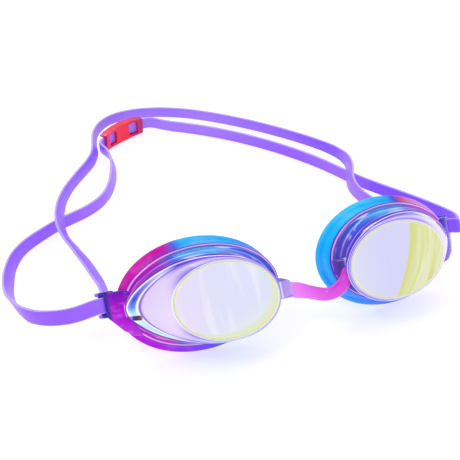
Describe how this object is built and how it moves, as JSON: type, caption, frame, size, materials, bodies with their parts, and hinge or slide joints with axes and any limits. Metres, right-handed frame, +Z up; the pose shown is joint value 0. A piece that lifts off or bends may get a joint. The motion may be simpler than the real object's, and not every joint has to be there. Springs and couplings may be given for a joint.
{
  "type": "swim goggles",
  "caption": "Swim goggles with mirrored oval lenses in clear frames, soft seals, a bent nose bridge, and a long looped elastic strap held by a rear clip.",
  "frame": {"origin": "on the resting surface, in the middle of the footprint of the goggles as they lie with the strap spread behind them", "axes": "+Z up from the resting surface, -Y the way the lenses face (they are also tipped back so that they face up), +X towards the eyepiece on the right of someone looking at the lenses"},
  "size_m": [0.1768, 0.199, 0.0376],
  "materials": {
    "right_lens": "iridescent mirror coating, lavender to yellow-green",
    "left_lens": "iridescent mirror coating, pale lavender with a yellow rim",
    "right_frame": "clear moulded polycarbonate",
    "left_frame": "clear moulded polycarbonate",
    "right_seal": "translucent silicone, cyan",
    "left_seal": "translucent silicone, magenta to blue",
    "bridge": "translucent pink",
    "strap": "satin violet silicone",
    "clip": "glossy crimson"
  },
  "bodies": {
    "left_eyepiece": {"left_eyecup": "left_frame", "left_lens": "left_lens", "left_seal": "left_seal", "nose_bridge": "bridge", "head_strap": "strap"},
    "right_eyepiece": {"right_eyecup": "right_frame", "right_lens": "right_lens", "right_seal": "right_seal"},
    "clip": {"rear_clip": "clip"}
  },
  "joints": [
    {"name": "bridge_flex", "type": "hinge", "parent": "left_eyepiece", "child": "right_eyepiece", "pos_m": [0.01387, -0.088, 0.01596], "axis": [0, 0, 1], "range_deg": [-12, 12], "stiffness_Nm_per_rad": 0.05, "deforming": ["nose_bridge", "head_strap"]},
    {"name": "clip_slide", "type": "hinge", "parent": "left_eyepiece", "child": "clip", "pos_m": [0.01057, 0.0437, 0.00456], "axis": [0, 0, 1], "range_deg": [-2.4, 2.4]}
  ]
}
